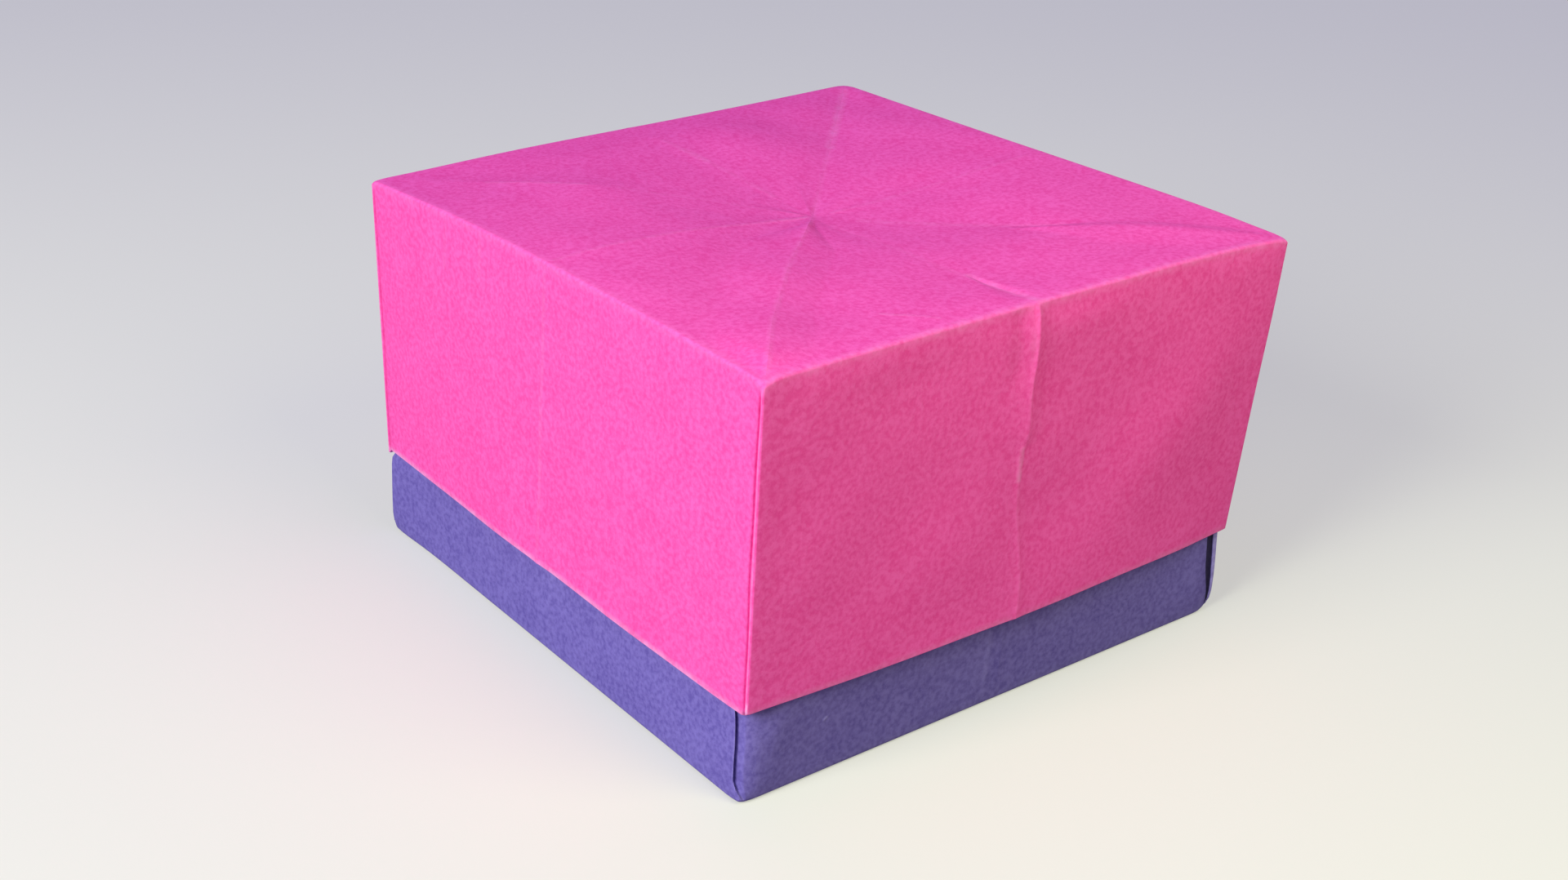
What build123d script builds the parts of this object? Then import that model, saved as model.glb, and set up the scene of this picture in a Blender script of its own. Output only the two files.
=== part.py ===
"""Lidded paper box: a lid over a deeper base, each folded from one square sheet as a masu box.

Millimetres, +Z up, origin on the surface that the box stands on, below the middle of its floor.
X runs across the lid's end walls and Y across its side walls.
"""

import os

from build123d import *

# The two sheets and the two boxes folded from them, measured outside
paper = 0.12  # thickness of either sheet
lid_width = 74.0  # X, from end wall to end wall
lid_depth = 74.0  # Y, from side wall to side wall
lid_height = 37.0  # hem to top
base_height = 48.0  # floor to rim

# How the base and the lid sit together
side_play = 0.35  # base wall to lid wall, each side
rim_gap = 0.1  # base rim to the underside of the lid's top

# Folds
corner_bend = 0.6  # outside radius where a side wall turns the corner
lid_fold = 0.4  # outside radius along the lid's top edges
base_fold = 1.2  # outside radius along the base's bottom edges, which are pressed less sharply
rim_round = 0.1  # radius along the folded rims
flat_strip = 1.6  # height of wall beside the panel that stays flat before it bows
pleat_slope = 1.5  # width over which the inner flap drapes off a pleat

# Each wall is creased down its middle and bows out towards its rim
lid_end_bow = 0.35
lid_side_bow = 0.8
base_bow = 0.15

# Gaps between folded edges
seam_width = 0.5  # beside the corner strip, on the outside of the end walls
seam_depth = 0.18
corner_strip = 0.95  # from the corner to the middle of the seam: side wall's paper that shows there
flap_gap = 0.25  # between neighbouring flaps on the floor

# The panel of each box is creased across both middles and both diagonals by folding the sheet in half.
# The lid's top has sunk between its edges, as far as its creases let it.
crease_width = 0.5
crease_depth = 0.05
lid_sink = 2.0  # how far the middle of the lid's top lies below its edges
level_margin = 2.5  # width of panel along the walls that stays level and rests on the base's rim

# Layers: a side wall, a floor and the middle of an end wall are a sheet and its flap. A pleat adds four
# more: the two halves of the corner square and the ears of both flaps.
plain = 2 * paper
pleat = 4 * paper
pleated = plain + pleat

# The base fits inside the lid: its side walls face the lid's pleated end walls
base_width = lid_width - 2 * (pleated + side_play)
base_depth = lid_depth - 2 * (plain + side_play)
total_height = base_height + rim_gap + plain


def outline(across, along, radius, height, bow_across=0.0, bow_along=0.0):
    """Closed line round the walls at one height: rounded corners, a crease in the middle of each wall."""
    half_a, half_b = across / 2, along / 2
    inner_a, inner_b = half_a - radius, half_b - radius
    middle_a, middle_b = half_a + bow_across, half_b + bow_along
    edges = []
    for turn, (sa, sb) in enumerate([(1, 1), (-1, 1), (-1, -1), (1, -1)]):
        on_a = Vector(sa * middle_a, 0, height)
        on_b = Vector(0, sb * middle_b, height)
        bend_a = Vector(sa * half_a, sb * inner_b, height)
        bend_b = Vector(sa * inner_a, sb * half_b, height)
        shoulder = radius * (1 - 0.5**0.5)
        crown = Vector(sa * (half_a - shoulder), sb * (half_b - shoulder), height)
        run = [Line(on_a, bend_a), ThreePointArc(bend_a, crown, bend_b), Line(bend_b, on_b)]
        if turn % 2:
            run = [Line(on_b, bend_b), ThreePointArc(bend_b, crown, bend_a), Line(bend_a, on_a)]
        edges += run
    return Wire(edges)


def tub(across, along, low, high, radius, fold, bow_across, bow_along):
    """Solid with the form of the walls, its lower edges rounded, bowing out from the flat strip to the rim."""
    strip = low + flat_strip
    foot = extrude(Face(outline(across, along, radius, low)), flat_strip)
    foot = fillet(foot.faces().sort_by(Axis.Z)[0].edges(), fold)
    upper = Solid.make_loft(
        [
            outline(across, along, radius, strip),
            outline(across, along, radius, high, bow_across, bow_along),
        ],
        ruled=True,
    )
    return foot + upper


def wedge(points, near, far):
    """Solid between one outline of (x, z) points at y = near and another at y = far."""
    sections = []
    for y, ring in ((near, points[0]), (far, points[1])):
        sections.append(Wire.make_polygon([Vector(x, y, z) for x, z in ring], close=True))
    return Solid.make_loft(sections, ruled=True)


def dish(corners, middle):
    """Four facets rising from a level rectangle to a point over its middle."""
    return Solid.make_loft([Wire.make_polygon(corners, close=True), Vertex(middle)], ruled=True)


def masu(across, along, height, fold, bow_across, bow_along, sink=0.0):
    """Masu box, open at the top. Its side walls face X, and its end walls face Y and hold the pleats.

    The middle of its floor is pushed in by sink.
    """
    floor = plain
    inner_bend = corner_bend - plain
    inner_fold = max(fold - plain, paper)
    inner_across = across - 2 * plain

    body = tub(across, along, 0, height, corner_bend, fold, bow_across, bow_along)
    over_rim = height + paper

    def hollow(wall):
        depth = along - 2 * wall
        return tub(inner_across, depth, floor, over_rim, inner_bend, inner_fold, bow_across, bow_along)

    # The pleats' long edges climb at 45 degrees from the floor's corners. Below them the end wall is plain.
    climb = across / 2
    per_mm = pleat_slope * 2**0.5 / pleat
    inner_face = along / 2 - pleated
    cavity = hollow(pleated)
    thin = hollow(plain)
    for side in (1, -1):
        beyond = along / 2 + bow_along
        shrink = per_mm * (beyond - inner_face)
        large = [(-climb, 0), (climb, 0), (0, climb)]
        small = [(-climb + shrink, 0), (climb - shrink, 0), (0, climb - shrink)]
        cavity += thin & wedge((large, small), side * inner_face, side * beyond)
    body -= cavity

    # In a box taller than half its width the pleats of both corners lie on each other under the rim
    overlap = height - climb
    if overlap > pleat_slope:
        slope = pleat_slope * 2**0.5
        inside_wall = inner_face + bow_along + paper
        large = [(-overlap, height), (overlap, height), (0, climb)]
        small = [(-overlap + slope, height), (overlap - slope, height), (0, climb + slope)]
        for side in (1, -1):
            body += wedge((large, small), side * inside_wall, side * (inner_face - pleat))

    rim = body.edges().filter_by(lambda edge: abs(edge.center().Z - height) < rim_round / 2)
    body = fillet(rim, rim_round)
    for slot in corner_seams(across, along, height, fold):
        body -= slot

    half_a, half_b = across / 2 - level_margin, along / 2 - level_margin
    corners = [Vector(a * half_a, b * half_b) for a, b in ((1, 1), (-1, 1), (-1, -1), (1, -1))]
    middle = Vector(0, 0, sink)
    lift = Vector(0, 0, floor)
    if sink:
        body += dish([corner + lift for corner in corners], middle + lift)
        body -= dish(corners, middle)
    for corner in corners:
        body -= flap_gap_along(middle + lift, corner + lift)
    edge_middles = [Vector(half_a, 0), Vector(0, half_b), Vector(-half_a, 0), Vector(0, -half_b)]
    for outer_end in corners + edge_middles:
        body -= crease_along(middle, outer_end)
    return body


def corner_seams(across, along, height, fold):
    """Slots beside the corner strips, where the side wall's paper goes in behind the end wall's folded edge."""
    length = height + paper - fold
    slots = []
    for side_x in (1, -1):
        for side_y in (1, -1):
            at = Pos(side_x * (across / 2 - corner_strip), side_y * along / 2, fold + length / 2)
            slots.append(at * Box(seam_width, 2 * seam_depth, length))
    return slots


def cutter(start, end, profile):
    """Bar with the given (sideways, up) profile along the line from start to end."""
    run = end - start
    plane = Plane(origin=start, x_dir=Vector(-run.Y, run.X, 0), z_dir=run)
    return extrude(plane * make_face(Polyline(*profile, close=True)), run.length)


def flap_gap_along(start, end):
    """Gap between two flaps, one sheet deep, under a line on the inside of the floor."""
    half = flap_gap / 2
    return cutter(start, end, [(-half, -paper), (half, -paper), (half, paper), (-half, paper)])


def crease_along(start, end):
    """Shallow V above a line on the outside of the floor."""
    half = crease_width / 2
    return cutter(start, end, [(-half, -paper), (half, -paper), (half, 0), (0, crease_depth), (-half, 0)])


os.makedirs("parts", exist_ok=True)

base = masu(base_width, base_depth, base_height, base_fold, base_bow, base_bow)
export_step(base, "parts/base.step")

lid = masu(lid_depth, lid_width, lid_height, lid_fold, lid_side_bow, lid_end_bow, lid_sink)
lid = Pos(0, 0, total_height) * Rot(180, 0, 0) * Rot(0, 0, 90) * lid
export_step(lid, "parts/lid.step")
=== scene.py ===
"""Folded paper box with a lift-off lid: the two paper sheets, the studio and the camera.

Lengths are in millimetres until a mesh is made, which is in metres. Each box is first laid out as a masu
box that opens upwards, with its side walls across local x and its end walls, which hold the pleats,
across local y. It is then put in its place and takes the bends, creases and dents of the real paper.
"""

import math

import bpy
import numpy as np
from mathutils import Matrix, Vector


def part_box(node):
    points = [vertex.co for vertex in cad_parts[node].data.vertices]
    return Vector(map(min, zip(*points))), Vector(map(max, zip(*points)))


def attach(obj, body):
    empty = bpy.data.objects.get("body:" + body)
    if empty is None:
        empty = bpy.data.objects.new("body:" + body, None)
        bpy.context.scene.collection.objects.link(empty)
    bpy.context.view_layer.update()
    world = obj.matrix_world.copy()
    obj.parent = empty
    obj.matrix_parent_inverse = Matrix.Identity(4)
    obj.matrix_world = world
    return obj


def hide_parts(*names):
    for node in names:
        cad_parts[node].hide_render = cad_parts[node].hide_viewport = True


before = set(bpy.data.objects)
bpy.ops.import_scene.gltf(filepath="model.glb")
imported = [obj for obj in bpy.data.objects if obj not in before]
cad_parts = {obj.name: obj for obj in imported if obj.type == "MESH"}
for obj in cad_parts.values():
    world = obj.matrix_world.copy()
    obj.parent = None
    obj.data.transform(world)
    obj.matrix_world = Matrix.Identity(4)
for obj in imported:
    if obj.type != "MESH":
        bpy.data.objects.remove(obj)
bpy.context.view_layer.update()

MM = 0.001

# The sheets, as folded
PAPER = 0.12
PLAIN = 2 * PAPER  # a sheet and its flap
PLEAT = 4 * PAPER  # what a pleat adds
PLEATED = PLAIN + PLEAT
PLEAT_SLOPE = 1.5  # width over which the inner flap drapes off a pleat

# Form of the folds
CORNER_BEND = 0.22  # radius where a side wall turns the corner
RIM_HEIGHT = 0.16  # height of the rounded top of a rim
INNER_FOLD = 0.35  # radius between the flap on a wall and the flap on the floor
FOLD_REACH = 0.95  # from the corner to where the end wall's folded edge is flat
FOLD_ROUND = 0.2  # radius of that folded edge
SEAM_STARTS = 0.3  # height above the panel where the seam beside the corner strip opens
SEAM_OPEN = 1.3
PANEL_ROUND = 0.5  # radius of the panel at its corners
FLAP_GAP = 0.12  # half the gap between two flaps on the floor

# Waves in the paper
WAVE_COUNT = 9  # plane waves added up
WAVE_SPREAD = (0.6, 1.7)  # range of their lengths, in mean wavelengths

# How finely the sheets are divided
SIDE_STEPS = 42
PANEL_RINGS = 46
FOLD_RINGS = 6
WALL_RINGS = 46
RIM_RINGS = 7
INNER_RINGS = 24
FLOOR_RINGS = 24
INNER_FOLD_RINGS = 3
FINEST_STEP = 0.16  # first step beside a wall's middle, as a share of a full one
FINE_STEPS = 5.0  # how many steps it takes to reach a full one
BEND_POINTS = 7  # round the bend at a corner
SEAM_COLUMNS = (7, 12)  # points of a corner between which the end wall's rim steps down

# Which part of the sheet a ring belongs to
PANEL, FOLD, WALL, RIM, INNER, FLOOR = range(6)


def smooth(low, high, value):
    """0 below low, 1 above high and an S-curve between."""
    t = np.clip((value - low) / (high - low), 0, 1)
    return t * t * (3 - 2 * t)


def hump(value, width):
    """Bell curve, 1 at 0."""
    return np.exp(-((value / width) ** 2))


def clustered(count, fine):
    """Rises from 0 to 1 in count steps, small near 0. fine is the first step's share of a full one."""
    steps = 1 - (1 - fine) * hump(np.arange(count), FINE_STEPS)
    return np.concatenate([[0.0], np.cumsum(steps) / steps.sum()])


def ripples(u, v, seed, wavelength):
    """Gentle irregular waves over a surface, within about -1 and 1, the same each time."""
    rng = np.random.default_rng(seed)
    total = np.zeros(np.broadcast(u, v).shape)
    for _ in range(WAVE_COUNT):
        angle = rng.uniform(0, math.pi)
        length = wavelength * rng.uniform(*WAVE_SPREAD)
        phase = rng.uniform(0, 2 * math.pi)
        along = u * math.cos(angle) + v * math.sin(angle)
        total += np.sin(2 * math.pi * along / length + phase)
    return total / (WAVE_COUNT / 2)


# Outlines at the corner, as (from the side wall's face, from the end wall's face) in from the sharp corner.
# They run from the side wall round the bend, along the strip, into the seam and out over the folded edge.


def bend_points(radius, count):
    """Quarter circle round the corner."""
    turn = np.linspace(0, math.pi / 2, count)
    return np.column_stack([radius * (1 - np.cos(turn)), radius * (1 - np.sin(turn))])


def seam_outline():
    """Corner with its seam open."""
    into_seam = [(0.30, 0.0), (0.37, 0.02), (0.42, 0.09), (0.45, 0.2), (0.5, 0.32), (0.6, 0.38), (0.7, 0.36)]
    turn = np.radians([115, 90, 60, 30, 0])
    folded_edge = np.column_stack(
        [FOLD_REACH - FOLD_ROUND * np.sin(turn), FOLD_ROUND * (1 - np.cos(turn))]
    )
    return np.vstack([bend_points(CORNER_BEND, BEND_POINTS), into_seam, folded_edge])


SEAM = seam_outline()
CORNER_POINTS = len(SEAM)


def closed_outline():
    """Corner with its seam closed, in as many points."""
    beyond = np.linspace(CORNER_BEND, FOLD_REACH, CORNER_POINTS - BEND_POINTS + 1)[1:]
    flat = np.column_stack([beyond, np.zeros(len(beyond))])
    return np.vstack([bend_points(CORNER_BEND, BEND_POINTS), flat])


CLOSED = closed_outline()


def inner_outline(side, end):
    """Corner of the inner faces, side and end in from the outer ones, the end flap's edge in a pocket."""
    pocket = 0.36 * end
    edge = min(0.14, 0.4 * end)
    along_side = np.column_stack([np.full(9, side), np.linspace(end + 1.3, end + 0.12, 9)])
    in_pocket = [
        (side + 0.02, end - 0.5 * pocket),
        (side + 0.06, end - pocket),
        (side + 0.16, end - 1.15 * pocket),
        (side + 0.26, end - pocket),
        (side + 0.30, end - pocket * 0.7),
    ]
    turn = np.radians([90, 68, 45, 22, 0])
    flap_edge = np.column_stack(
        [side + 0.46 - edge * np.sin(turn), end - edge * (1 - np.cos(turn))]
    )
    return np.vstack([along_side, in_pocket, flap_edge])


# Places of the points across the gap between two flaps, from its middle
GAP_OFFSETS = np.array([0.9, 0.55, 0.35, 0.26, 0.2, 0.16, 0.13, 0.09, 0.05, 0.0])
GAP_OFFSETS = np.concatenate([GAP_OFFSETS, -GAP_OFFSETS[-2::-1]])


def quarter_ring(across, along, corner, side_z, corner_z, end_z):
    """Points from the middle of a side wall round one corner to the middle of an end wall."""
    from_middle = clustered(SIDE_STEPS, FINEST_STEP)
    side = np.column_stack(
        [
            np.full(SIDE_STEPS, across - corner[0, 0]),
            from_middle[:-1] * (along - corner[0, 1]),
            np.broadcast_to(side_z, SIDE_STEPS),
        ]
    )
    bend = np.column_stack(
        [
            across - corner[:, 0],
            along - corner[:, 1],
            np.broadcast_to(corner_z, CORNER_POINTS),
        ]
    )
    end = np.column_stack(
        [
            from_middle[-2::-1] * (across - corner[-1, 0]),
            np.full(SIDE_STEPS, along - corner[-1, 1]),
            np.broadcast_to(end_z, SIDE_STEPS),
        ]
    )
    return np.vstack([side, bend, end])


def masu_rings(half_side, half_end, height, end_height, fold, high_pads):
    """Rings of points over one folded sheet, from the middle of its panel to the middle of its floor.

    Returns the rings of one quarter, as an array of rings by columns by (x, y, z), and each ring's zone.
    """
    rings, zones = [], []

    def add(zone, ring):
        rings.append(ring)
        zones.append(zone)

    inner_across, inner_along = half_side - fold, half_end - fold
    for share in np.linspace(0, 1, PANEL_RINGS + 1)[1:]:
        radius = min(PANEL_ROUND, 0.5 * share * inner_across)
        corner = bend_points(radius, CORNER_POINTS)
        add(PANEL, quarter_ring(share * inner_across, share * inner_along, corner, 0, 0, 0))

    edge_corner = bend_points(PANEL_ROUND, CORNER_POINTS)
    for turn in np.linspace(0, math.pi / 2, FOLD_RINGS + 1)[1:]:
        inset = fold * (1 - math.sin(turn))
        z = fold * (1 - math.cos(turn))
        share = turn / (math.pi / 2)
        corner = edge_corner + share * (CLOSED - edge_corner)
        add(FOLD, quarter_ring(half_side - inset, half_end - inset, corner, z, z, z))

    # The end walls' rims lie a little lower than the side walls', with the step in the seam
    step = smooth(*SEAM_COLUMNS, np.arange(CORNER_POINTS))
    corner_top = height - RIM_HEIGHT + (end_height - height) * step
    side_top = height - RIM_HEIGHT
    end_top = end_height - RIM_HEIGHT

    def at(share):
        """Heights of the side, the corner and the end of a ring on the walls."""
        return [fold + share * (top - fold) for top in (side_top, corner_top, end_top)]

    for share in np.linspace(0, 1, WALL_RINGS + 1)[1:]:
        heights = at(share)
        opened = smooth(SEAM_STARTS, SEAM_OPEN, heights[0] - fold)
        corner = CLOSED + opened * (SEAM - CLOSED)
        add(WALL, quarter_ring(half_side, half_end, corner, *heights))

    def end_thickness(x, z):
        """Layers under the end wall's inner face: plain below the pleats' 45 degree edges."""
        slope = PLEAT_SLOPE * math.sqrt(2)
        thick = PLAIN + PLEAT * smooth(0, slope, z - (half_side - np.abs(x)))
        if high_pads:
            thick = thick + PLEAT * smooth(0, slope, z - (half_side + np.abs(x)))
        return thick

    def inner_ring(side_z, corner_z, end_z):
        """Ring on the inner faces of the walls."""
        thick = end_thickness(half_side, np.mean(corner_z))
        corner = inner_outline(PLAIN, float(thick))
        ring = quarter_ring(half_side, half_end, corner, side_z, corner_z, end_z)
        end = ring[-SIDE_STEPS:]
        face = half_end - end_thickness(end[:, 0], end[:, 2])
        near_corner = smooth(0, 1.5, half_side - np.abs(end[:, 0]) - corner[-1, 0])
        end[:, 1] += near_corner * (face - end[:, 1])
        return ring

    top_outer = rings[-1]
    top_inner = inner_ring(*at(1))
    for turn in np.linspace(0, math.pi, RIM_RINGS + 2)[1:-1]:
        ring = top_outer + (top_inner - top_outer) * (1 - math.cos(turn)) / 2
        ring[:, 2] += RIM_HEIGHT * math.sin(turn)
        add(RIM, ring)

    floor_z = PLAIN
    foot = floor_z + INNER_FOLD

    def down(share):
        """Heights of a ring on the inner faces, from the rim down to the foot."""
        return [foot + share * (top - foot) for top in (side_top, corner_top, end_top)]

    for share in np.linspace(1, 0, INNER_RINGS + 1):
        add(INNER, inner_ring(*down(share)))

    floor_across, floor_along = half_side - PLAIN - INNER_FOLD, half_end - PLAIN - INNER_FOLD

    def floor_ring(share):
        """Ring on the inside of the floor, with the gaps between the flaps at its corners."""
        across, along = share * floor_across, share * floor_along
        spread = min(1.0, 0.4 * across / GAP_OFFSETS[0])
        offsets = GAP_OFFSETS * spread * math.sqrt(2)
        corner = np.column_stack([np.maximum(0, -offsets), np.maximum(0, offsets)])
        gap = 1 - smooth(FLAP_GAP * 0.7, FLAP_GAP * 1.9, np.abs(GAP_OFFSETS * spread))
        z = floor_z - PAPER * gap
        return quarter_ring(across, along, corner, floor_z, z, floor_z)

    last_inner, first_floor = rings[-1], floor_ring(1)
    for turn in np.linspace(0, math.pi / 2, INNER_FOLD_RINGS + 2)[1:-1]:
        ring = last_inner.copy()
        sideways, drop = 1 - math.cos(turn), math.sin(turn)
        ring[:, :2] += (first_floor[:, :2] - last_inner[:, :2]) * sideways
        ring[:, 2] += (first_floor[:, 2] - last_inner[:, 2]) * drop
        add(INNER, ring)
    for share in np.linspace(1, 0, FLOOR_RINGS + 1)[:-1]:
        add(FLOOR, floor_ring(share))
    return np.array(rings), np.array(zones)


def whole_rings(quarter):
    """The four quarters of each ring, mirrored and joined at the middles of the walls."""
    forward, backward = quarter[:, :-1], quarter[:, :0:-1]
    turns = [(forward, 1, 1), (backward, -1, 1), (forward, -1, -1), (backward, 1, -1)]
    return np.concatenate([part * np.array([sx, sy, 1.0]) for part, sx, sy in turns], axis=1)


def sheet_faces(ring_count, columns, first_pole, last_pole):
    """Faces between neighbouring rings, and from the first and the last ring to the middles they close on."""
    faces = []
    for ring in range(ring_count - 1):
        here, there = ring * columns, (ring + 1) * columns
        for column in range(columns):
            after = (column + 1) % columns
            faces.append((here + column, here + after, there + after, there + column))
    last = (ring_count - 1) * columns
    for column in range(columns):
        after = (column + 1) % columns
        faces.append((first_pole, after, column))
        faces.append((last_pole, last + column, last + after))
    return faces


def folded_sheet(name, quarter, zones, place, bend, wear_and_painted_light):
    """Mesh object of one sheet.

    place puts the plain box in the model's frame, and bend moves its points there.
    """
    rings = whole_rings(quarter)
    ring_count, columns, _ = rings.shape
    points = rings.reshape(-1, 3)
    zone = np.repeat(zones, columns)
    poles = np.array([[0.0, 0.0, 0.0], [0.0, 0.0, PLAIN]])
    local = np.vstack([points, poles])
    zone = np.concatenate([zone, [PANEL, FLOOR]])
    final = bend(place(local), local, zone) * MM

    mesh = bpy.data.meshes.new(name)
    faces = sheet_faces(ring_count, columns, len(points), len(points) + 1)
    mesh.from_pydata(final.tolist(), [], faces)
    mesh.validate()
    mesh.update()
    mesh.shade_smooth()
    # Paleness of rubbed paper with painted highlights, and below 0 painted shade inside a seam
    attribute = mesh.attributes.new("wear_and_painted_light", "FLOAT", "POINT")
    attribute.data.foreach_set("value", wear_and_painted_light(local, zone).astype(np.float32))
    laid = mesh.attributes.new("laid", "FLOAT_VECTOR", "POINT")
    laid.data.foreach_set("vector", place(local).astype(np.float32).ravel())
    piece = bpy.data.objects.new(name, mesh)
    bpy.context.scene.collection.objects.link(piece)
    return piece


# Sizes from the frame
LID_END_BOW = 0.35
LID_SIDE_BOW = 0.8
BASE_BOW = 0.15
FLAT_STRIP = 1.6  # height of wall beside the panel that stays flat before it bows
lid_low, lid_high = (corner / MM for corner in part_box("lid"))
base_low, base_high = (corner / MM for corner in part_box("base"))
LID_TOP = lid_high.z
LID_HEIGHT = lid_high.z - lid_low.z
LID_HALF_X = lid_high.x - LID_END_BOW
LID_HALF_Y = lid_high.y - LID_SIDE_BOW
BASE_HALF_X = base_high.x - BASE_BOW
BASE_HALF_Y = base_high.y - BASE_BOW
BASE_HEIGHT = base_high.z

LID_FOLD = 0.4
BASE_FOLD = 0.6
LID_END_RISE = 0.55  # the end walls' hem is this much higher than the side walls'
BASE_END_DROP = 0.3

# The front corner is at -x -y, the left one at -x +y, the back one at +x +y and the right one at +x -y
FRONT, LEFT, RIGHT = (-1, -1), (-1, 1), (1, -1)

# Relief of the lid's top along eight rays from its middle, as (share of the way out, height)
TOP_MIDDLE = -1.65
TOP_RAYS = [
    [(0.25, -1.2), (0.5, -0.65), (0.75, -0.2), (1, 0.2)],  # front corner
    [(0.25, -0.75), (0.43, 0.0), (0.75, 0.7), (0.93, 0.6), (1, 0.6)],  # front left wall
    [(0.17, -1.05), (0.35, -0.1), (0.54, 0.75), (0.73, 0.3), (0.93, -0.1), (1, -0.15)],  # left corner
    [(0.26, -1.2), (0.6, -0.1), (0.74, 0.15), (0.92, -0.1), (1, -0.15)],  # back left wall
    [(0.3, -1.0), (0.6, -0.4), (1, 0.3)],  # back corner
    [(0.37, -1.7), (0.65, -0.8), (0.92, 0.0), (1, 0.15)],  # back right wall
    [(0.42, -1.3), (0.63, 0.1), (0.8, 0.0), (1, 0.0)],  # right corner
    [(0.18, -1.36), (0.39, -1.0), (0.71, -0.4), (0.9, 0.15), (1, 0.38)],  # front right wall
]


def top_relief(x, y):
    """Height of the lid's top above its plane: facets between the creases."""
    u, v = x / LID_HALF_X, y / LID_HALF_Y
    out = np.clip(np.maximum(np.abs(u), np.abs(v)), 1e-6, 1)
    a, b = np.clip(u / out, -1, 1), np.clip(v / out, -1, 1)
    on_left = (np.abs(u) >= np.abs(v)) & (u < 0)
    on_right = (np.abs(u) >= np.abs(v)) & (u >= 0)
    on_back = (np.abs(u) < np.abs(v)) & (v >= 0)
    around = np.where(on_left, 1 + b, np.where(on_back, 3 + a, np.where(on_right, 5 - b, 7 - a)))
    around = np.clip(around, 0, 7.999999)
    nearby = np.array([-0.1, -0.05, 0, 0.05, 0.1])[:, None]
    profiles = [np.interp(out + nearby, *zip((0, TOP_MIDDLE), *ray)) for ray in TOP_RAYS + TOP_RAYS[:1]]
    heights = np.array([profile.mean(axis=0) for profile in profiles])
    ray = around.astype(int)
    part = around - ray
    from_corner = np.where(ray % 2 == 0, part, 1 - part)
    eased = from_corner + out**4 * (1 - (1 - from_corner) ** 2 - from_corner)
    part = np.where(ray % 2 == 0, eased, 1 - eased)
    index = np.arange(len(ray))
    return (1 - part) * heights[ray, index] + part * heights[ray + 1, index]


# Creases of the lid's top: from, to, height of the fold, and how far it falls off to the left and the right
# of the line, looking from its start. A negative height is a valley.
TOP_CREASES = [
    ((0, 0), (-37, -37), 0.30, 8.0, 6.0),
    ((-2, -2), (-36, -36), 0.62, 4.2, 7.0),
    ((0, 0), (37, 37), -0.22, 3.0, 4.0),
    ((0, 0), (-19, 19), 0.10, 4.0, 3.0),
    ((15.4, -17.2), (35.4, -36.2), 0.26, 2.2, 5.0),
    ((-1, 0), (-36, 0), 0.06, 2.0, 2.0),
    ((0, 5), (0, 31), 0.05, 2.0, 3.0),
    ((2, 0), (35, 0), 0.08, 2.0, 3.0),
    ((0, -4), (0, -26), -0.04, 2.0, 2.0),
    ((0.5, -26), (0.2, -36.5), -0.26, 1.2, 3.0),
    ((-15.5, -30.2), (-11.8, -34.5), 0.14, 1.2, 1.2),
]

# Swells of the top between its creases: middle, direction in degrees, half length, half width, height
TOP_SWELLS = [
    (7, 21, 62, 12, 6, 0.40),
    (-9, 11, 120, 8, 5, 0.20),
    (17, 6, 15, 12, 5, 0.25),
    (14, -5, -20, 14, 5, 0.20),
    (-8, -22, 75, 10, 6, 0.25),
    (-24, -8, 20, 12, 8, 0.25),
    (3.5, -2.5, 0, 9, 7, -0.30),
]


def swell_form(x, y, middle_x, middle_y, turn, half_length, half_width):
    """Oval hump, 1 in its middle."""
    c, s = math.cos(math.radians(turn)), math.sin(math.radians(turn))
    along = (x - middle_x) * c + (y - middle_y) * s
    across = (y - middle_y) * c - (x - middle_x) * s
    return hump(along, half_length) * hump(across, half_width)


def crease_form(x, y, start, end, reach_left, reach_right):
    """1 along a line, falling off straight to both sides and beyond its ends."""
    (x0, y0), (x1, y1) = start, end
    length = math.hypot(x1 - x0, y1 - y0)
    ax, ay = (x1 - x0) / length, (y1 - y0) / length
    along = (x - x0) * ax + (y - y0) * ay
    to_left = (y - y0) * ax - (x - x0) * ay
    reach = np.where(to_left > 0, reach_left, reach_right)
    narrowing = np.clip(along / 10, 0.15, 1)
    past = np.maximum(np.maximum(-along, along - length), 0)
    beside = np.clip(1 - np.abs(to_left) / (reach * narrowing), 0, 1)
    beyond = np.clip(1 - past / 1.5, 0, 1)
    return beside * beyond * smooth(0, 4, along + 1)


# Centre crease of the lid's front right wall from its hem up, as (height, offset)
RIDGE_LINE = [
    (11.3, 0.0),
    (17, 0.1),
    (28.7, -0.2),
    (32.3, -0.35),
    (33.5, 0.3),
    (39, 0.0),
    (42.6, 0.2),
    (48.3, -0.1),
]

# Swells of that wall, as those of the top
WALL_SWELLS = [
    (20, 24, 0, 10, 10, 0.30),
    (26, 33, 40, 13, 6, 0.30),
]

# How far the lid's corners lean along x and y, as (front, left, back, right), at its top and at its hem
LID_LEAN_X = [(0.0, -0.2, 0.4, 0.55), (0.1, 0.1, 0.2, -0.4)]
LID_LEAN_Y = [(0.2, 0.4, -0.15, -0.6), (0.4, 0.15, 0.0, 0.15)]

# How far the base's corners are moved, in the same order: at any height, and farther at its splayed foot
BASE_SHIFT_X = [(-0.05, -0.05, -0.05, -0.15), (-0.71, 0.0, 0.4, 0.4)]
BASE_SHIFT_Y = [(0.2, 0.05, 0.05, 0.1), (0.42, 0.5, -0.1, -0.45)]

# Waves of the walls at -x, +x, -y and +y, as (height, seed, wavelength)
LID_WAVES = [(0.12, 3, 24), (0.12, 4, 24), (0.192, 5, 22), (0.12, 6, 24)]
BASE_WAVES = [(0.05, 13, 15), (0.05, 14, 15), (0.05, 15, 15), (0.05, 16, 15)]

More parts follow.
